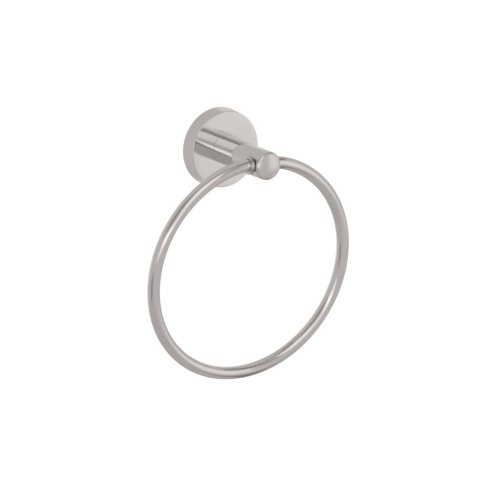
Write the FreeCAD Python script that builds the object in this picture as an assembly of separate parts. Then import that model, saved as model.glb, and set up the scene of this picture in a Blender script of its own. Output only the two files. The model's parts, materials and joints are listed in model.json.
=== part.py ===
import FreeCAD, Part
import math
import os

from FreeCAD import Vector

# Towel ring: a round wall flange carries a post, and the ring turns in two bushes near the post's end.
# Millimetres. +Z is up, the wall is the plane y = 0, and the front of the object faces -Y.
# The origin is on the wall, at the centre of the flange.

# Flange cover: a turned cup that hides the wall bracket, a little wider at the wall than at its front
cover_front_diameter = 52.0
cover_flare = 0.9
cover_depth = 11.0
cover_side_wall = 2.0
cover_front_wall = 2.5
cover_front_rounding = 1.2
cover_inner_rounding = 0.8
cover_rim_rounding = 0.3

# Wall bracket inside the cover
bracket_front_clearance = 0.5
bracket_side_clearance = 0.3
bracket_edge_rounding = 0.5
bracket_centre_hole = 16.0
wall_screw_spacing = 30.0
wall_screw_hole = 4.6
wall_screw_head = 9.0
wall_screw_head_depth = 2.2

# Groove round the bracket between two lands, and the grub screw that draws the cover to the wall
groove_wall_land = 1.2
groove_front_land = 0.8
grub_diameter = 5.0
grub_point_flat = 1.0
grub_recess = 0.5
grub_tip_gap = 0.1
grub_hex = 2.5
grub_hex_depth = 1.8

# Post
post_diameter = 19.5
post_foot_rounding = 0.3
bore_from_cover = 45.0
rounding_from_bore = 4.5
end_edge_radius = 2.5
end_crown_radius = 16.0

# Screw that holds the post to the cover, and its split washer
screw_diameter = 6.0
screw_length = 16.0
screw_head_diameter = 10.5
screw_head_height = 3.3
screw_head_rounding = 1.6
screw_hex = 4.0
screw_hex_depth = 2.0
screw_end_rounding = 0.6
screw_hole_spare = 2.0
screw_hole_clearance = 0.2
thread_clearance = 0.05
washer_diameter = 11.0
washer_thickness = 1.6
washer_split = 1.2

# Bushes, pressed into the post's bore: the left one has a collar outside the post, the right one is sunk in
bush_diameter = 10.0
bush_inner_end = 3.5
bush_recess = 1.5
bush_rounding = 0.3
collar_diameter = 12.4
collar_projection = 2.5
collar_rounding = 0.4
collar_gap = 0.05
press_clearance = 0.01

# Ring: one tube, bent round, with its straight ends in the bushes
ring_bend_radius = 75.0
end_bend_radius = 16.0
bar_diameter = 8.5
bar_wall = 1.2
running_clearance = 0.05
straight_past_collar = 0.15
end_gap = 3.0
ring_lean = 7.0

OUT_OF_WALL = Vector(0, -1, 0)
TO_WALL = Vector(0, 1, 0)
RIGHT = Vector(1, 0, 0)
LEFT = Vector(-1, 0, 0)
DOWN = Vector(0, 0, -1)

# Places worked out from the sizes above
cover_front_radius = cover_front_diameter / 2
cover_wall_radius = cover_front_radius + cover_flare
cover_inner_radius = cover_front_radius - cover_side_wall
cover_inner_face = cover_depth - cover_front_wall
bracket_radius = cover_inner_radius - bracket_side_clearance
bracket_thickness = cover_inner_face - bracket_front_clearance
groove_depth = (bracket_thickness - groove_wall_land - groove_front_land) / 2
groove_height = groove_wall_land + groove_depth
post_radius = post_diameter / 2
bar_radius = bar_diameter / 2
bore_depth = cover_depth + bore_from_cover
bore_centre = OUT_OF_WALL * bore_depth
bush_bore_radius = bar_radius + running_clearance
collar_face = post_radius + collar_projection
straight_end = collar_face + straight_past_collar


def corner_arc(before, corner, after, radius):
    """Tangent arc of the given radius that rounds a corner between two straight lines."""
    into = (before - corner).normalize()
    out = (after - corner).normalize()
    half_angle = into.getAngle(out) / 2
    along = radius / math.tan(half_angle)
    centre = corner + (into + out).normalize() * (radius / math.sin(half_angle))
    middle = centre + (corner - centre).normalize() * radius
    return corner + into * along, middle, corner + out * along


def rounded_face(corners):
    """Flat face in the XZ plane from corners given as (distance from axis, height, rounding)."""
    points = [Vector(distance, 0, height) for distance, height, rounding in corners]
    starts, ends, arcs = [], [], []
    for i, (distance, height, rounding) in enumerate(corners):
        if rounding > 0:
            after = points[(i + 1) % len(points)]
            start, middle, end = corner_arc(points[i - 1], points[i], after, rounding)
            arcs.append(Part.Arc(start, middle, end).toShape())
        else:
            start = end = points[i]
            arcs.append(None)
        starts.append(start)
        ends.append(end)
    edges = []
    for i, arc in enumerate(arcs):
        if arc:
            edges.append(arc)
        following = starts[(i + 1) % len(starts)]
        edges.append(Part.LineSegment(ends[i], following).toShape())
    return Part.Face(Part.Wire(edges))


def turned(face, place=Vector(0, 0, 0), direction=Vector(0, 0, 1)):
    """Solid turned from a face in the XZ plane, with its axis moved to a place and a direction."""
    solid = face.revolve(Vector(0, 0, 0), Vector(0, 0, 1), 360)
    solid.Placement = FreeCAD.Placement(place, FreeCAD.Rotation(Vector(0, 0, 1), direction))
    return solid


def rod(diameter, length, place, direction):
    return Part.makeCylinder(diameter / 2, length, place, direction)


def hex_socket(across_flats, depth, place, direction):
    """Hexagonal prism to cut a socket, starting at its open end."""
    radius = across_flats / 2 / math.cos(math.pi / 6)
    points = []
    for i in range(7):
        angle = math.pi / 3 * i
        points.append(Vector(radius * math.cos(angle), radius * math.sin(angle), 0))
    prism = Part.Face(Part.makePolygon(points)).extrude(Vector(0, 0, depth))
    prism.Placement = FreeCAD.Placement(place, FreeCAD.Rotation(Vector(0, 0, 1), direction))
    return prism


def make_wall_bracket():
    """Disc with a grooved edge, a centre hole for the post's screw and two screw holes."""
    hole_radius = bracket_centre_hole / 2
    profile = [
        (hole_radius, 0, 0),
        (bracket_radius, 0, 0),
        (bracket_radius, groove_height - groove_depth, 0),
        (bracket_radius - groove_depth, groove_height, 0),
        (bracket_radius, groove_height + groove_depth, 0),
        (bracket_radius, bracket_thickness, bracket_edge_rounding),
        (hole_radius, bracket_thickness, bracket_edge_rounding),
    ]
    bracket = turned(rounded_face(profile), direction=OUT_OF_WALL)
    head_start = bracket_thickness - wall_screw_head_depth
    for side in (LEFT, RIGHT):
        place = side * (wall_screw_spacing / 2)
        hole = rod(wall_screw_hole, bracket_thickness, place, OUT_OF_WALL)
        head = Part.makeCone(
            wall_screw_hole / 2, wall_screw_head / 2, wall_screw_head_depth,
            place + OUT_OF_WALL * head_start, OUT_OF_WALL)
        bracket = bracket.cut(hole).cut(head)
    return bracket


def make_flange_cover():
    """Cup with a rounded front edge, a hole for the post's screw and one for the grub screw."""
    hole_radius = screw_diameter / 2 + screw_hole_clearance
    profile = [
        (hole_radius, cover_inner_face, 0),
        (cover_inner_radius, cover_inner_face, cover_inner_rounding),
        (cover_inner_radius, 0, 0),
        (cover_wall_radius, 0, cover_rim_rounding),
        (cover_front_radius, cover_depth, cover_front_rounding),
        (hole_radius, cover_depth, 0),
    ]
    cover = turned(rounded_face(profile), direction=OUT_OF_WALL)
    grub_hole = rod(
        grub_diameter + 2 * thread_clearance, 2 * cover_side_wall + cover_flare,
        OUT_OF_WALL * groove_height + DOWN * (cover_inner_radius - cover_side_wall / 2), DOWN)
    return cover.cut(grub_hole)


def make_cover_grub_screw():
    """Headless screw with a cone point in the bracket's groove and a socket under the flange."""
    tip = bracket_radius - groove_depth + grub_point_flat / 2 + grub_tip_gap
    outer_end = cover_wall_radius - cover_flare * groove_height / cover_depth - grub_recess
    radius = grub_diameter / 2
    cone = radius - grub_point_flat / 2
    profile = [
        (0, tip, 0),
        (grub_point_flat / 2, tip, 0),
        (radius, tip + cone, 0),
        (radius, outer_end, 0),
        (0, outer_end, 0),
    ]
    place = OUT_OF_WALL * groove_height
    screw = turned(rounded_face(profile), place, DOWN)
    socket = hex_socket(grub_hex, grub_hex_depth, place + DOWN * outer_end, DOWN * -1)
    return screw.cut(socket)


def post_end_edges(start_height):
    """Profile of the post's end: a small edge arc that runs into a wide crown, up to the axis."""
    edge_centre = Vector(post_radius - end_edge_radius, 0, start_height)
    drop = math.sqrt((end_crown_radius - end_edge_radius) ** 2 - edge_centre.x ** 2)
    crown_centre = Vector(0, 0, start_height - drop)
    meeting_angle = math.atan2(drop, edge_centre.x)
    half_way = meeting_angle / 2
    edge_middle = edge_centre + Vector(math.cos(half_way), 0, math.sin(half_way)) * end_edge_radius
    meeting = crown_centre + Vector(math.cos(meeting_angle), 0, math.sin(meeting_angle)) * end_crown_radius
    crown_angle = (meeting_angle + math.pi / 2) / 2
    crown_middle = crown_centre + Vector(math.cos(crown_angle), 0, math.sin(crown_angle)) * end_crown_radius
    top = crown_centre + Vector(0, 0, end_crown_radius)
    start = edge_centre + Vector(end_edge_radius, 0, 0)
    edge_arc = Part.Arc(start, edge_middle, meeting).toShape()
    crown_arc = Part.Arc(meeting, crown_middle, top).toShape()
    return start, top, [edge_arc, crown_arc]


def make_post():
    """Turned bar with a crowned end, a cross bore for the bushes and a tapped hole in its foot."""
    start, top, end_edges = post_end_edges(bore_depth + rounding_from_bore)
    foot_centre = Vector(0, 0, cover_depth)
    foot_start, foot_middle, foot_end = corner_arc(
        foot_centre, Vector(post_radius, 0, cover_depth), start, post_foot_rounding)
    edges = [
        Part.LineSegment(top, foot_centre).toShape(),
        Part.LineSegment(foot_centre, foot_start).toShape(),
        Part.Arc(foot_start, foot_middle, foot_end).toShape(),
        Part.LineSegment(foot_end, start).toShape(),
    ]
    post = turned(Part.Face(Part.Wire(edges + end_edges)), direction=OUT_OF_WALL)
    bore = rod(bush_diameter + 2 * press_clearance, post_diameter, bore_centre + LEFT * post_radius, RIGHT)
    post = post.cut(bore)
    thread_depth = screw_length - washer_thickness - cover_front_wall + screw_hole_spare
    tapped = rod(screw_diameter + 2 * thread_clearance, thread_depth, OUT_OF_WALL * cover_depth, OUT_OF_WALL)
    return post.cut(tapped)


def make_post_screw():
    """Button-head screw, put in from the wall side."""
    head_under = cover_inner_face - washer_thickness
    head_top = head_under - screw_head_height
    head_radius = screw_head_diameter / 2
    shank_radius = screw_diameter / 2
    profile = [
        (0, head_top, 0),
        (head_radius, head_top, screw_head_rounding),
        (head_radius, head_under, 0),
        (shank_radius, head_under, 0),
        (shank_radius, head_under + screw_length, screw_end_rounding),
        (0, head_under + screw_length, 0),
    ]
    screw = turned(rounded_face(profile), direction=OUT_OF_WALL)
    return screw.cut(hex_socket(screw_hex, screw_hex_depth, OUT_OF_WALL * head_top, OUT_OF_WALL))


def make_lock_washer():
    """Split spring washer between the screw's head and the cover."""
    place = OUT_OF_WALL * (cover_inner_face - washer_thickness)
    disc = rod(washer_diameter, washer_thickness, place, OUT_OF_WALL)
    hole = rod(screw_diameter + 2 * screw_hole_clearance, washer_thickness, place, OUT_OF_WALL)
    split = Part.makeBox(washer_split, washer_thickness, washer_diameter)
    split.translate(Vector(-washer_split / 2, -cover_inner_face, 0))
    return disc.cut(hole).cut(split)


def make_left_bush():
    """Bush with a collar, whose flat back lies against the side of the post."""
    bush_radius = bush_diameter / 2
    collar_radius = collar_diameter / 2
    collar_back = post_radius + collar_gap
    profile = [
        (bush_bore_radius, bush_inner_end, 0),
        (bush_radius, bush_inner_end, bush_rounding),
        (bush_radius, collar_back, 0),
        (collar_radius, collar_back, 0),
        (collar_radius, collar_face, collar_rounding),
        (bush_bore_radius, collar_face, 0),
    ]
    return turned(rounded_face(profile), bore_centre, LEFT)


def make_right_bush():
    """Plain bush, with its outer end sunk below the side of the post."""
    bush_radius = bush_diameter / 2
    outer_end = post_radius - bush_recess
    profile = [
        (bush_bore_radius, bush_inner_end, 0),
        (bush_radius, bush_inner_end, bush_rounding),
        (bush_radius, outer_end, bush_rounding),
        (bush_bore_radius, outer_end, 0),
    ]
    return turned(rounded_face(profile), bore_centre, RIGHT)


def make_ring():
    """Tube of two straight ends, two tight bends and one long round bend, leaning to the wall."""
    tube_end = RIGHT * (end_gap / 2)
    outer = Part.Face(Part.Wire(Part.makeCircle(bar_radius, tube_end, RIGHT)))
    inner = Part.Face(Part.Wire(Part.makeCircle(bar_radius - bar_wall, tube_end, RIGHT)))
    section = outer.cut(inner).Faces[0]
    straight_length = straight_end - end_gap / 2
    straight = section.extrude(RIGHT * straight_length)

    radius_change = ring_bend_radius - end_bend_radius
    turn = math.degrees(math.asin(straight_end / radius_change))
    ring_centre = DOWN * (end_bend_radius + math.sqrt(radius_change ** 2 - straight_end ** 2))
    end_centre = RIGHT * straight_end + DOWN * end_bend_radius

    section.translate(RIGHT * straight_length)
    end_bend = section.revolve(end_centre, TO_WALL, turn)
    section.rotate(end_centre, TO_WALL, turn)
    long_bend = section.revolve(ring_centre, TO_WALL, 360 - 2 * turn)

    far_side = [piece.mirror(Vector(0, 0, 0), RIGHT) for piece in (straight, end_bend)]
    ring = straight.multiFuse([end_bend, long_bend] + far_side)
    ring.rotate(Vector(0, 0, 0), RIGHT, ring_lean)
    ring.translate(bore_centre)
    return ring


def make_parts():
    return {
        "wall_bracket": make_wall_bracket(),
        "flange_cover": make_flange_cover(),
        "cover_grub_screw": make_cover_grub_screw(),
        "post": make_post(),
        "post_screw": make_post_screw(),
        "lock_washer": make_lock_washer(),
        "left_bush": make_left_bush(),
        "right_bush": make_right_bush(),
        "ring": make_ring(),
    }


def write_parts():
    os.makedirs("parts", exist_ok=True)
    for node, shape in make_parts().items():
        solids = shape.Solids
        print(node, len(solids), "solid", "valid" if shape.isValid() else "NOT VALID", round(shape.Volume, 1))
        if len(solids) == 1:
            shape = solids[0]
        shape.exportStep(f"parts/{node}.step")


write_parts()
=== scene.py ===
import json
import math

import bpy
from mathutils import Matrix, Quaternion, Vector


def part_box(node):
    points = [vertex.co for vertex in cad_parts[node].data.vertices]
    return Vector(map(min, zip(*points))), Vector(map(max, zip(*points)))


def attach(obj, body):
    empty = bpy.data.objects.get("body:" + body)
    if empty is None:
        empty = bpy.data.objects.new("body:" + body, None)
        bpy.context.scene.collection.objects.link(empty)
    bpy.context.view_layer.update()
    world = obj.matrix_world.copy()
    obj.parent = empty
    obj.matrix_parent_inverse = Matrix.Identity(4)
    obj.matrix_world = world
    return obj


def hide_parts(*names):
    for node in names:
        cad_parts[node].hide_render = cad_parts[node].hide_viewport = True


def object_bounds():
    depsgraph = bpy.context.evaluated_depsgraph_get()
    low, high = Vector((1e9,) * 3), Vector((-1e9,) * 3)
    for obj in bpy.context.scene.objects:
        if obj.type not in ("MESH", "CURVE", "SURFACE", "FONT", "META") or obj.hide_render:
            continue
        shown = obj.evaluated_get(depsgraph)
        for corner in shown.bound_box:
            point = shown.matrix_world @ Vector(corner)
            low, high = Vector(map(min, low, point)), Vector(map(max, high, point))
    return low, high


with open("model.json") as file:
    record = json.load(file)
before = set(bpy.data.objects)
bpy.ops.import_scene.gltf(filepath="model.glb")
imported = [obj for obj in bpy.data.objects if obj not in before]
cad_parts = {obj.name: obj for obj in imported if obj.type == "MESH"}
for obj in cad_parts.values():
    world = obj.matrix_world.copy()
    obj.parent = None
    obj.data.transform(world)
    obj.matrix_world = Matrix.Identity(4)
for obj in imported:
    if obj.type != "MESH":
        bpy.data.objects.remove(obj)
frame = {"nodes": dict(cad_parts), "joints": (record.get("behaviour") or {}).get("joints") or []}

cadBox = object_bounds()
mm = 0.001

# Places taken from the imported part: +Z is up, the wall is at y = 0 and the front faces -Y
middleOfPart = (cadBox[0] + cadBox[1]) / 2
boreCentre = Vector(frame["joints"][0]["pos_m"])
coverLow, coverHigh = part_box("flange_cover")
postLow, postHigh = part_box("post")
leftBushLow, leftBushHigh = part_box("left_bush")
rightBushLow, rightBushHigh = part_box("right_bush")
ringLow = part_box("ring")[0]
outOfWall = Vector((0, -1, 0))
rightWay = Vector((1, 0, 0))
upwards = Vector((0, 0, 1))


# Modelling helpers

mergeDistance = 0.002 * mm
roundMargin = 0.02 * mm  # how near to a round surface a corner lies to take its normal
sameWay = 0.96           # a face that turns further from that normal keeps its own


def startFresh():
    if bpy.context.object and bpy.context.object.mode != "OBJECT":
        bpy.ops.object.mode_set(mode="OBJECT")
    bpy.ops.object.select_all(action="DESELECT")


def pick(piece):
    startFresh()
    piece.select_set(True)
    bpy.context.view_layer.objects.active = piece


def settle(piece, smoothDegrees=40):  # object back to the origin, its place in its mesh
    pick(piece)
    bpy.ops.object.transform_apply(location=True, rotation=True, scale=True)
    bpy.ops.object.shade_smooth_by_angle(angle=math.radians(smoothDegrees))
    return piece


def drawLine(name, points):  # one vertex extruded from point to point, left in edit mode
    startFresh()
    bpy.ops.mesh.primitive_plane_add(size=mm, location=points[0])
    piece = bpy.context.object
    piece.name = name
    bpy.ops.object.mode_set(mode="EDIT")
    bpy.ops.mesh.merge(type="CENTER")
    for here, there in zip(points, points[1:]):
        bpy.ops.mesh.extrude_vertices_move(TRANSFORM_OT_translate={"value": there - here})
    return piece


def closeUp():  # after a spin: doubles merged, then normals outwards
    bpy.ops.mesh.select_all(action="SELECT")
    bpy.ops.mesh.remove_doubles(threshold=mergeDistance)
    bpy.ops.mesh.normals_make_consistent(inside=False)
    bpy.ops.object.mode_set(mode="OBJECT")


def turnPiece(name, profile, start, axis, steps, closedProfile=False):
    # profile is a list of (distance from the axis, distance along it), and every axis here lies level
    points = [start + upwards * away + axis * along for away, along in profile]
    if closedProfile:
        points.append(points[0].copy())
    piece = drawLine(name, points)
    bpy.ops.mesh.select_all(action="SELECT")
    bpy.ops.mesh.spin(steps=steps, angle=2 * math.pi, center=start, axis=axis)
    closeUp()
    return settle(piece)


def arc(centreAway, centreAlong, radius, fromDegrees, toDegrees, count):
    points = []
    for i in range(count + 1):
        angle = math.radians(fromDegrees + (toDegrees - fromDegrees) * i / count)
        points.append((centreAway + radius * math.cos(angle), centreAlong + radius * math.sin(angle)))
    return points


def spread(fromPoint, toPoint, count):  # points between two ends, without the ends
    (a, b), (c, d) = fromPoint, toPoint
    return [(a + (c - a) * i / count, b + (d - b) * i / count) for i in range(1, count)]


def cutAway(piece, radius, depth, place, rotation, sides=160):
    startFresh()
    bpy.ops.mesh.primitive_cylinder_add(
        vertices=sides, radius=radius, depth=depth, location=place, rotation=rotation)
    cutter = bpy.context.object
    pick(piece)
    cut = piece.modifiers.new("cut", "BOOLEAN")
    cut.operation = "DIFFERENCE"
    cut.solver = "EXACT"
    cut.object = cutter
    bpy.ops.object.modifier_apply(modifier=cut.name)
    bpy.data.objects.remove(cutter)


def trueNormals(piece, normalAt):
    # a cut leaves odd faces on a round surface, so its corners get the surface's own normals
    mesh = piece.data
    normals = [Vector(corner.vector) for corner in mesh.corner_normals]
    for face in mesh.polygons:
        for loop, vertex in zip(face.loop_indices, face.vertices):
            wanted = normalAt(mesh.vertices[vertex].co)
            if wanted is not None and wanted.dot(face.normal) > sameWay:
                normals[loop] = wanted
    mesh.normals_split_custom_set(normals)


# Flange cover

coverSizes = {
    "wallRadius": 26.9 * mm,
    "frontRadius": 26.0 * mm,
    "depth": coverHigh.y - coverLow.y,
    "sideWall": 2.0 * mm,
    "frontWall": 2.5 * mm,
    "frontRounding": 0.5 * mm,
    "innerRounding": 0.8 * mm,
    "rimRounding": 0.3 * mm,
    "holeRadius": 3.2 * mm,
    "grubHoleRadius": 2.55 * mm,
    "grubHoleDepth": 4.2 * mm,
    "grubHoleSides": 96,
    "steps": 256,
    "rimPoints": 6,
    "sidePoints": 8,
    "frontRoundingPoints": 14,
    "facePoints": 6,
    "innerRoundingPoints": 6,
}


def makeCover(s):
    front = s["frontRounding"]
    inner = s["innerRounding"]
    rim = s["rimRounding"]
    inside = s["frontRadius"] - s["sideWall"]
    floorAlong = s["depth"] - s["frontWall"]
    narrowing = (s["wallRadius"] - s["frontRadius"]) / s["depth"]
    slope = math.atan(narrowing)

    def wallAt(along):
        return s["wallRadius"] - narrowing * along

    def edgeArc(along, radius, fromDegrees, toDegrees, count):  # touches the sloping side wall
        away = wallAt(along + radius * math.sin(slope)) - radius * math.cos(slope)
        return arc(away, along, radius, fromDegrees, toDegrees, count)

    slopeDegrees = math.degrees(slope)
    rimArc = edgeArc(rim, rim, -90, slopeDegrees, s["rimPoints"])
    frontArc = edgeArc(s["depth"] - front, front, slopeDegrees, 90, s["frontRoundingPoints"])
    profile = [(s["holeRadius"], floorAlong)]
    profile += arc(inside - inner, floorAlong - inner, inner, 90, 0, s["innerRoundingPoints"])
    profile += [(inside, 0)]
    profile += rimArc + spread(rimArc[-1], frontArc[0], s["sidePoints"]) + frontArc
    profile += spread(frontArc[-1], (s["holeRadius"], s["depth"]), s["facePoints"])
    profile += [(s["holeRadius"], s["depth"])]
    cover = turnPiece("coverCup", profile, Vector((0, 0, 0)), outOfWall, s["steps"], closedProfile=True)
    hole = outOfWall * s["grubHoleDepth"] - upwards * s["wallRadius"]
    cutAway(cover, s["grubHoleRadius"], 3 * s["sideWall"], hole, (0, 0, 0), s["grubHoleSides"])

    def normalAt(point):
        away = Vector((point.x, 0, point.z))
        if abs(away.length - wallAt(-point.y)) < roundMargin:
            return away.normalized() * math.cos(slope) + outOfWall * math.sin(slope)
        return None

    settle(cover)
    trueNormals(cover, normalAt)
    return cover


cover = makeCover(coverSizes)
print("flange cover turned")


# Post

postSizes = {
    "radius": (postHigh.x - postLow.x) / 2,
    "foot": -postHigh.y,
    "tip": -postLow.y,
    "footRounding": 0.3 * mm,
    "edgeRadius": 2.5 * mm,
    "crownRadius": 26.0 * mm,
    "bore": 5.01 * mm,
    "tappedHole": 3.05 * mm,
    "tappedDepth": 13.9 * mm,
    "steps": 256,
    "footPoints": 5,
    "sidePoints": 48,
    "edgePoints": 16,
    "crownPoints": 24,
    "edgeMargin": 0.005 * mm,
    "crownMargin": 0.03 * mm,
}


def makePost(s):
    r, edge, crown = s["radius"], s["edgeRadius"], s["crownRadius"]
    drop = math.sqrt((crown - edge) ** 2 - (r - edge) ** 2)
    crownCentre = s["tip"] - crown
    shoulder = crownCentre + drop
    meeting = math.degrees(math.atan2(drop, r - edge))
    foot = s["footRounding"]
    profile = [(0, s["foot"])]
    profile += arc(r - foot, s["foot"] + foot, foot, -90, 0, s["footPoints"])
    profile += spread((r, s["foot"] + foot), (r, shoulder), s["sidePoints"])
    profile += arc(r - edge, shoulder, edge, 0, meeting, s["edgePoints"])
    profile += arc(0, crownCentre, crown, meeting, 90, s["crownPoints"])[1:]
    post = turnPiece("postBar", profile, Vector((0, 0, 0)), outOfWall, s["steps"])
    across = (0, math.pi / 2, 0)
    outward = (math.pi / 2, 0, 0)
    cutAway(post, s["bore"], 4 * r, boreCentre, across)
    cutAway(post, s["tappedHole"], 2 * s["tappedDepth"], outOfWall * s["foot"], outward)

    def normalAt(point):
        away = Vector((point.x, 0, point.z))
        if -point.y <= shoulder:
            return away.normalized() if abs(away.length - r) < roundMargin else None
        if away.length > r - edge:
            fromEdge = point - away.normalized() * (r - edge) - outOfWall * shoulder
            rise = math.degrees(math.atan2(-fromEdge.y, math.hypot(fromEdge.x, fromEdge.z)))
            if fromEdge.length < edge + s["edgeMargin"] and rise < meeting:
                return fromEdge.normalized()
        fromCrown = point - outOfWall * crownCentre
        return fromCrown.normalized() if abs(fromCrown.length - crown) < s["crownMargin"] else None

    settle(post)
    trueNormals(post, normalAt)
    return post


post = makePost(postSizes)
print("post turned and cross-bored")


# Bushes

bushSizes = {
    "bushRadius": (rightBushHigh.z - rightBushLow.z) / 2,
    "boreRadius": 4.3 * mm,
    "boreRounding": 0.15 * mm,
    "innerEnd": rightBushLow.x,
    "sunkFace": rightBushHigh.x,
    "bushRounding": 0.3 * mm,
    "collarRadius": (leftBushHigh.z - leftBushLow.z) / 2,
    "collarBack": 9.8 * mm,
    "collarFace": -leftBushLow.x,
    "collarRounding": 0.4 * mm,
    "collarBackRounding": 0.6 * mm,
    "steps": 160,
    "backPoints": 4,
    "facePoints": 8,
    "mouthPoints": 5,
}


def makeBush(name, side, s):
    mouth = s["boreRounding"]
    inner = s["bushRounding"]
    profile = [(s["boreRadius"], s["innerEnd"])]
    profile += arc(s["bushRadius"] - inner, s["innerEnd"] + inner, inner, -90, 0, s["backPoints"])
    if side < 0:
        back, rounding = s["collarBackRounding"], s["collarRounding"]
        face, outer = s["collarFace"], s["collarRadius"]
        profile += [(s["bushRadius"], s["collarBack"])]
        profile += arc(outer - back, s["collarBack"] + back, back, -90, 0, s["backPoints"])
    else:
        rounding, face, outer = s["bushRounding"], s["sunkFace"], s["bushRadius"]
    profile += arc(outer - rounding, face - rounding, rounding, 0, 90, s["facePoints"])
    profile += arc(s["boreRadius"] + mouth, face - mouth, mouth, 90, 180, s["mouthPoints"])
    return turnPiece(name, profile, boreCentre, rightWay * side, s["steps"], closedProfile=True)


leftCollar = makeBush("leftCollar", -1, bushSizes)
rightBush = makeBush("rightBush", 1, bushSizes)
print("bushes turned")


# Ring

ringSizes = {
    "bendRadius": 75.0 * mm,
    "endBendRadius": 16.0 * mm,
    "barRadius": 4.25 * mm,
    "endGap": 3.0 * mm,
    "straightEnd": 12.4 * mm,
    "leanDegrees": 7.0,
    "sides": 64,
    "longSteps": 400,
    "endSteps": 16,
}


def makeRing(s):  # closed at its ends, which sit inside the post
    lean = math.radians(s["leanDegrees"])
    down = Vector((0, math.sin(lean), -math.cos(lean)))
    through = Vector((0, math.cos(lean), math.sin(lean)))
    change = s["bendRadius"] - s["endBendRadius"]
    turn = math.asin(s["straightEnd"] / change)
    drop = math.sqrt(change ** 2 - s["straightEnd"] ** 2) + s["endBendRadius"]
    longCentre = boreCentre + down * drop
    startFresh()
    bpy.ops.mesh.primitive_circle_add(
        vertices=s["sides"], radius=s["barRadius"], fill_type="NOTHING",
        location=boreCentre + rightWay * s["endGap"] / 2, rotation=(0, math.pi / 2, 0))
    ring = bpy.context.object
    ring.name = "ringTube"
    bpy.ops.object.mode_set(mode="EDIT")
    bpy.ops.mesh.select_all(action="SELECT")
    bpy.ops.mesh.edge_face_add()
    straight = rightWay * (s["straightEnd"] - s["endGap"] / 2)
    bpy.ops.mesh.extrude_region_move(TRANSFORM_OT_translate={"value": straight})
    for side in (1, -1):
        centre = boreCentre + rightWay * s["straightEnd"] * side + down * s["endBendRadius"]
        bpy.ops.mesh.spin(steps=s["endSteps"], angle=-turn, center=centre, axis=through)
        if side == 1:
            bpy.ops.mesh.spin(
                steps=s["longSteps"], angle=-2 * (math.pi - turn), center=longCentre, axis=through)
    bpy.ops.mesh.extrude_region_move(TRANSFORM_OT_translate={"value": straight})
    closeUp()
    return settle(ring)


ring = makeRing(ringSizes)
print("ring bent")


# Shader maths

class Wire:
    def __init__(self, tree, socket):
        self.tree = tree
        self.socket = socket

    def node(self, kind, settings=None, output=0, **inputs):
        made = self.tree.nodes.new(kind)
        for key, value in (settings or {}).items():
            setattr(made, key, value)
        for key, value in inputs.items():
            target = self.find(made.inputs, key)
            if isinstance(value, Wire):
                self.tree.links.new(value.socket, target)
            else:
                target.default_value = value
        return Wire(self.tree, self.find(made.outputs, output))

    def find(self, sockets, key):  # i0 or 0 is the first; else by identifier, or by name with _ for a space
        if isinstance(key, int) or key.lstrip("i").isdigit():
            return sockets[int(str(key).lstrip("i"))]
        for socket in sockets:
            if socket.identifier == key:
                return socket
        return sockets[key.replace("_", " ")]

    def into(self, shader, name):
        self.tree.links.new(self.socket, shader.inputs[name])

    def maths(self, operation, first, second):
        return self.node("ShaderNodeMath", {"operation": operation}, i0=first, i1=second)

    def __add__(self, other):
        return self.maths("ADD", self, other)

    __radd__ = __add__

    def __mul__(self, other):
        return self.maths("MULTIPLY", self, other)

    __rmul__ = __mul__

    def __sub__(self, other):
        return self.maths("SUBTRACT", self, other)

    def __rsub__(self, other):
        return self.maths("SUBTRACT", other, self)

    def clamped(self):
        return self.maths("MINIMUM", self.maths("MAXIMUM", self, 0.0), 1.0)


def newMaterial(name):
    material = bpy.data.materials.new(name)
    material.use_nodes = True
    tree = material.node_tree
    shader = tree.nodes["Principled BSDF"]
    return material, Wire(tree, None), shader


def mixColours(wire, amount, first, second):
    return wire.node(
        "ShaderNodeMix", {"data_type": "RGBA"}, output="Result_Color",
        Factor_Float=amount, A_Color=first, B_Color=second)


def finishMetal(wire, shader, colour, roughness, height):
    colour.into(shader, "Base Color")
    roughness.into(shader, "Roughness")
    wire.node("ShaderNodeBump", Height=height, Distance=1.0, Strength=1.0).into(shader, "Normal")
    shader.inputs["Metallic"].default_value = 1


chromeLook = {
    "colour": (0.715, 0.707, 0.700, 1),
    "deepColour": (0.685, 0.677, 0.670, 1),
    "edgeTint": (0.93, 0.92, 0.91, 1),  # chromium's slight dip before a glancing view
    "roughness": 0.06,
    "hazeRoughness": 0.05,  # added where the polish is a little cloudy
    "hazeScale": 55,
    "hazeStart": 0.45,      # the noise value where a cloudy patch starts
    "hazeGain": 4,          # how fast it gets there
    "rippleScale": 130,     # slow waves left by buffing
    "rippleHeight": 0.02 * mm,
    "hairlineScale": 2600,
    "hairlineHeight": 0.0006 * mm,
}
# A dull zone is an axis, where on it the zone starts and where it is full. The post's crown is buffed less
# finely, and the bushes get rougher and carry a painted shade, darker from the left collar's face inwards,
# standing in for the shade in the crevice where the collar meets the post
postLook = chromeLook | {
    "dullZone": ("Y", boreCentre.y - 1.5 * mm, boreCentre.y - 5.0 * mm),
    "zoneRoughness": 0.15,
}
bushLook = chromeLook | {
    "colour": (0.63, 0.625, 0.62, 1),
    "deepColour": (0.58, 0.575, 0.57, 1),
    "roughness": 0.12,
    "dullZone": ("X", -11.5 * mm, -10.8 * mm),
    "zoneRoughness": 0.1,
    # painted shade: this colour darkens the bushes towards the post, where the collar meets it
    "paintedShadeColour": (0.31, 0.305, 0.30, 1),
}


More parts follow.
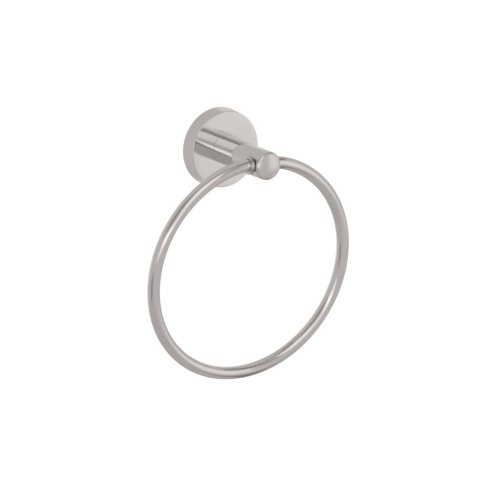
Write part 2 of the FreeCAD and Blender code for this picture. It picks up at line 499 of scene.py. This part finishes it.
def makeChrome(name, look):
    material, wire, shader = newMaterial(name)
    place = wire.node("ShaderNodeTexCoord", output="Object")
    haze = wire.node(
        "ShaderNodeTexNoise", Vector=place, Scale=look["hazeScale"], Detail=3.0, Roughness=0.6)
    ripple = wire.node("ShaderNodeTexNoise", Vector=place, Scale=look["rippleScale"], Detail=1.0)
    hairlines = wire.node("ShaderNodeTexNoise", Vector=place, Scale=look["hairlineScale"], Detail=2.0)
    cloudy = ((haze - look["hazeStart"]) * look["hazeGain"]).clamped()
    colour = mixColours(wire, cloudy, look["colour"], look["deepColour"])
    roughness = cloudy * look["hazeRoughness"] + look["roughness"]
    if "dullZone" in look:
        axis, start, full = look["dullZone"]
        along = wire.node("ShaderNodeSeparateXYZ", output=axis, Vector=place)
        dull = ((along - start) * (1 / (full - start))).clamped()
        roughness = roughness + dull * look["zoneRoughness"]
        # painted shade: a zone colour darkens the surface inside the zone, standing in for shade in a
        # crevice
        if "paintedShadeColour" in look:
            colour = mixColours(wire, dull, colour, look["paintedShadeColour"])
    height = ripple * look["rippleHeight"] + hairlines * look["hairlineHeight"]
    finishMetal(wire, shader, colour, roughness, height)
    shader.inputs["Specular Tint"].default_value = look["edgeTint"]
    return material


# Steel behind the flange: turned faces, plated or plain
zincLook = {
    "colour": (0.60, 0.61, 0.63, 1),
    "dullColour": (0.46, 0.47, 0.45, 1),  # where the plating has bloomed
    "bloomScale": 70,
    "bloomStart": 0.42,
    "bloomGain": 5,
    "roughness": 0.30,
    "dullRoughness": 0.22,                # added where it has bloomed
    "turningScale": 900,                  # rings left by the lathe
    "turningRoughness": 0.12,
    "turningHeight": 0.010 * mm,
    "grainScale": 1600,
    "grainHeight": 0.004 * mm,
}
screwLook = zincLook | {
    "colour": (0.52, 0.52, 0.53, 1),
    "dullColour": (0.34, 0.335, 0.33, 1),
    "bloomScale": 160,
    "roughness": 0.24,
    "dullRoughness": 0.26,
    "turningScale": 1500,
    "turningHeight": 0.006 * mm,
    "grainScale": 2400,
    "grainHeight": 0.003 * mm,
}


def makeSteel(name, look):
    material, wire, shader = newMaterial(name)
    place = wire.node("ShaderNodeTexCoord", output="Object")
    across = wire.node("ShaderNodeVectorMath", {"operation": "MULTIPLY"}, i0=place, i1=(1, 0, 1))
    fromAxis = wire.node("ShaderNodeVectorMath", {"operation": "LENGTH"}, output="Value", i0=across)
    bloom = wire.node(
        "ShaderNodeTexNoise", Vector=place, Scale=look["bloomScale"], Detail=4.0, Roughness=0.65)
    turning = wire.node(
        "ShaderNodeTexNoise", {"noise_dimensions": "1D"},
        W=fromAxis, Scale=look["turningScale"], Detail=2.0)
    grain = wire.node("ShaderNodeTexNoise", Vector=place, Scale=look["grainScale"], Detail=2.0)
    dull = ((bloom - look["bloomStart"]) * look["bloomGain"]).clamped()
    colour = mixColours(wire, dull, look["colour"], look["dullColour"])
    roughness = dull * look["dullRoughness"] + turning * look["turningRoughness"] + look["roughness"]
    height = turning * look["turningHeight"] + grain * look["grainHeight"]
    finishMetal(wire, shader, colour, roughness, height)
    return material


zincPlate = makeSteel("zincPlate", zincLook)
plainSteel = makeSteel("plainSteel", screwLook)
for node, material in (
        ("wall_bracket", zincPlate),
        ("cover_grub_screw", plainSteel),
        ("post_screw", plainSteel),
        ("lock_washer", plainSteel)):
    shown = frame["nodes"][node]
    shown.data.materials.clear()
    shown.data.materials.append(material)

chrome = makeChrome("polishedChrome", chromeLook)
postChrome = makeChrome("postChrome", postLook)
bushChrome = makeChrome("bushChrome", bushLook)
for piece, material, node, body, slot in (
        (cover, chrome, "flange_cover", "mount", "cover_chrome"),
        (post, postChrome, "post", "mount", "post_chrome"),
        (leftCollar, bushChrome, "left_bush", "mount", "bush_chrome"),
        (rightBush, bushChrome, "right_bush", "mount", "bush_chrome"),
        (ring, chrome, "ring", "ring", "ring_chrome")):
    piece.data.materials.clear()
    piece.data.materials.append(material)
    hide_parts(node)
    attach(piece, body)
print("materials set")


# Floor, light and camera

# Sizes and places in metres, the key light's power in watts
studio = {
    "worldLevel": 0.8,  # what lights the floor; seen directly, the backdrop is white
    "floorSize": 24,
    "floorDrop": 0.85,
    "floorColour": (0.85, 0.85, 0.85, 1),
    "floorRoughness": 0.9,
    "floorSpecular": 0.1,
    "floorGlow": 0.36,
    "keyPower": 8,
    "keySize": 0.9,
    "keyAt": (-0.9, -1.3, 1.3),
    "cardDrop": 0.6,    # no card stands lower than this below the part
    "boxWhite": (1.04, 0.99, 0.975, 1),
    "clothGrey": (1.055, 0.985, 0.97, 1),
}

# The light tent round the part, open to the white backdrop behind it
tent = {
    "radius": 2.2,
    "drop": 0.75,
    "level": 0.60,
    "segments": 64,
    "rings": 32,
    "opening": (180, -2),     # degrees round from the front, and up
    "openingHeight": 1.35,    # how much flatter than a circle
    "openingEdge": (39, 26),  # degrees from its middle where it starts and is fully open
    "openingCloth": 0.1,      # what still hangs in front of the backdrop there
}

# Softboxes and grey flags that the metal reflects. Each row gives where it stands seen from the part, in
# degrees (0 is the front and plus is right, then how high), its width and height in degrees, its tilt, its
# distance, its level, and which share of its half-width fades out
cards = (
    ("leftFlag", -70, 34, 44, 50, 0, 1.5, 0.31, 0.6),
    ("lowLeftFlag", -70, -34, 50, 46, 0, 1.5, 0.35, 0.7),
    ("topFlag", 0, 67, 130, 30, 0, 1.5, 0.43, 0.5),
    ("upperRightFlag", 60, 53, 72, 20, 0, 1.45, 0.28, 0.5),
    ("lowerRightFlag", 85, -60, 90, 26, -12, 1.5, 0.26, 0.7),
    ("rearRightFlag", 132, -14, 62, 34, 0, 1.45, 0.38, 0.8),
    ("underCard", 0, -90, 110, 110, 0, 1.5, 0.52, 0.3),
    ("frontStrip", -28, -1, 70, 30, 0, 1.5, 1.0, 0.5),
    ("frontWindow", -15, 31, 43, 52, 0, 1.45, 1.1, 0.55),
    ("brightSpot", -34, 1, 34, 15, 0, 1.4, 1.45, 0.6),
    ("rightBox", 48, 6, 50, 62, 0, 1.5, 0.90, 0.6),
    ("rightBoxEdge", 37, 14, 20, 36, 0, 1.42, 0.92, 0.3),
    ("gapFlag", 12, 34, 18, 30, 0, 1.4, 0.42, 0.5),
    ("rearRightBox", 139, 16, 36, 48, 0, 1.4, 0.80, 0.7),
)


def lightPath(wire):  # 1 where the surface is seen directly, in a reflection or through glass
    camera, glossy, through = (
        wire.node("ShaderNodeLightPath", output="Is " + ray + " Ray")
        for ray in ("Camera", "Glossy", "Transmission"))
    return (camera + glossy + through).clamped()


def makeFloor(s):
    startFresh()
    bpy.ops.mesh.primitive_plane_add(size=s["floorSize"], location=(0, 0, ringLow.z - s["floorDrop"]))
    floor = bpy.context.object
    floor.name = "floor"
    material, wire, shader = newMaterial("paleFloor")
    floor.data.materials.append(material)
    shader.inputs["Base Color"].default_value = s["floorColour"]
    shader.inputs["Roughness"].default_value = s["floorRoughness"]
    shader.inputs["Specular IOR Level"].default_value = s["floorSpecular"]
    shader.inputs["Emission Strength"].default_value = s["floorGlow"]
    lightPath(wire).into(shader, "Emission Color")


def makeWorld(s):
    world = bpy.data.worlds.new("studio")
    bpy.context.scene.world = world
    world.use_nodes = True
    tree = world.node_tree
    background = tree.nodes["Background"]
    background.inputs["Color"].default_value = (1, 1, 1, 1)
    seen = lightPath(Wire(tree, None))
    (seen * (1 - s["worldLevel"]) + s["worldLevel"]).into(background, "Strength")


def makeKeyLight(s):
    place = Vector(s["keyAt"])
    bpy.ops.object.light_add(type="AREA", location=place)
    key = bpy.context.object
    key.name = "keyLight"
    key.rotation_euler = (place - middleOfPart).to_track_quat("Z", "Y").to_euler()
    key.data.size = s["keySize"]
    key.data.energy = s["keyPower"]
    key.visible_camera = key.visible_glossy = False


def lookTo(azimuth, elevation):
    a, e = math.radians(azimuth), math.radians(elevation)
    return Vector((math.sin(a) * math.cos(e), -math.cos(a) * math.cos(e), math.sin(e)))


def showToMetalOnly(thing, material):  # seen in reflections and by nothing else
    thing.visible_camera = thing.visible_diffuse = thing.visible_shadow = False
    thing.visible_transmission = thing.visible_volume_scatter = False
    material.cycles.emission_sampling = "NONE"
    thing.data.materials.append(material)


def glowMaterial(name):
    material, wire, shader = newMaterial(name)
    material.node_tree.nodes.remove(shader)
    return material, wire


def glowThrough(material, wire, mask, level):  # clear where the mask is 0
    colour = studio["boxWhite"] if level > tent["level"] else studio["clothGrey"]
    glow = wire.node("ShaderNodeEmission", Color=colour, Strength=level)
    clear = wire.node("ShaderNodeBsdfTransparent")
    mixed = wire.node("ShaderNodeMixShader", i0=mask, i1=clear, i2=glow)
    mixed.into(material.node_tree.nodes["Material Output"], "Surface")


def makeTent(t):
    startFresh()
    bpy.ops.mesh.primitive_uv_sphere_add(
        segments=t["segments"], ring_count=t["rings"], radius=t["radius"], location=middleOfPart)
    dome = bpy.context.object
    dome.name = "lightTent"
    bpy.ops.object.mode_set(mode="EDIT")
    bpy.ops.mesh.select_all(action="SELECT")
    bpy.ops.mesh.bisect(
        plane_co=middleOfPart - upwards * t["drop"], plane_no=-upwards, use_fill=True, clear_outer=True)
    bpy.ops.object.mode_set(mode="OBJECT")
    material, wire = glowMaterial("tentCloth")
    place = wire.node("ShaderNodeTexCoord", output="Object")
    flatter = wire.node(
        "ShaderNodeVectorMath", {"operation": "MULTIPLY"}, i0=place, i1=(1, 1, t["openingHeight"]))
    outwards = wire.node("ShaderNodeVectorMath", {"operation": "NORMALIZE"}, i0=flatter)
    facing = wire.node(
        "ShaderNodeVectorMath", {"operation": "DOT_PRODUCT"}, output="Value",
        i0=outwards, i1=lookTo(*t["opening"]))
    start, full = (math.cos(math.radians(edge)) for edge in t["openingEdge"])
    cloth = wire.node(
        "ShaderNodeMapRange", {"interpolation_type": "SMOOTHSTEP"},
        Value=facing, From_Min=start, From_Max=full, To_Min=1.0, To_Max=t["openingCloth"])
    glowThrough(material, wire, cloth, t["level"])
    showToMetalOnly(dome, material)


def makeCard(name, azimuth, elevation, width, height, tilt, distance, level, fade):
    toCard = lookTo(azimuth, elevation)
    if toCard.z < 0:
        distance = min(distance, studio["cardDrop"] / -toCard.z)
    facing = toCard.to_track_quat("Z", "Y") @ Quaternion((0, 0, 1), math.radians(tilt))
    startFresh()
    bpy.ops.mesh.primitive_plane_add(
        size=2 * distance, location=middleOfPart + toCard * distance, rotation=facing.to_euler())
    card = bpy.context.object
    card.name = name
    card.scale = (math.tan(math.radians(width / 2)), math.tan(math.radians(height / 2)), 1)
    material, wire = glowMaterial(name)
    place = wire.node("ShaderNodeTexCoord", output="UV")
    mask = 1
    for axis in ("X", "Y"):
        along = wire.node("ShaderNodeSeparateXYZ", output=axis, Vector=place)
        fromMiddle = wire.node("ShaderNodeMath", {"operation": "ABSOLUTE"}, i0=(along - 0.5) * 2)
        mask = mask * wire.node(
            "ShaderNodeMapRange", {"interpolation_type": "SMOOTHSTEP"},
            Value=fromMiddle, From_Min=1 - fade, From_Max=1.0, To_Min=1.0, To_Max=0.0)
    glowThrough(material, wire, mask, level)
    showToMetalOnly(card, material)


makeFloor(studio)
makeWorld(studio)
makeKeyLight(studio)
makeTent(tent)
for card in cards:
    makeCard(*card)
print("floor and light set")


cameraView = {
    "azimuth": -34.39,
    "elevation": 13.21,
    "roll": 3.53,
    "distance": 6.0,
    "scale": 1.4965,             # picture points to a millimetre at the object
    "originAt": (216.3, 145.7),  # where the flange's centre on the wall comes in the picture
    "pictureSide": 480,
    "sensorWidth": 36,
    "clip": (0.1, 60),
}


def placeCamera(v):
    back = lookTo(v["azimuth"], v["elevation"])
    turn = (-back).to_track_quat("-Z", "Y") @ Quaternion((0, 0, 1), math.radians(v["roll"]))
    right, up = turn @ Vector((1, 0, 0)), turn @ Vector((0, 1, 0))
    half = v["pictureSide"] / 2
    x, y = v["originAt"]
    target = right * (half - x) * mm / v["scale"] + up * (y - half) * mm / v["scale"]
    target += back * (middleOfPart - target).dot(back)
    bpy.ops.object.camera_add(location=target + back * v["distance"])
    camera = bpy.context.object
    camera.rotation_mode = "QUATERNION"
    camera.rotation_quaternion = turn
    camera.data.sensor_width = v["sensorWidth"]
    camera.data.lens = v["sensorWidth"] * v["distance"] / (v["pictureSide"] * mm / v["scale"])
    camera.data.clip_start, camera.data.clip_end = v["clip"]
    bpy.context.scene.camera = camera


placeCamera(cameraView)
bpy.context.scene.view_settings.view_transform = "Standard"
print("camera placed")
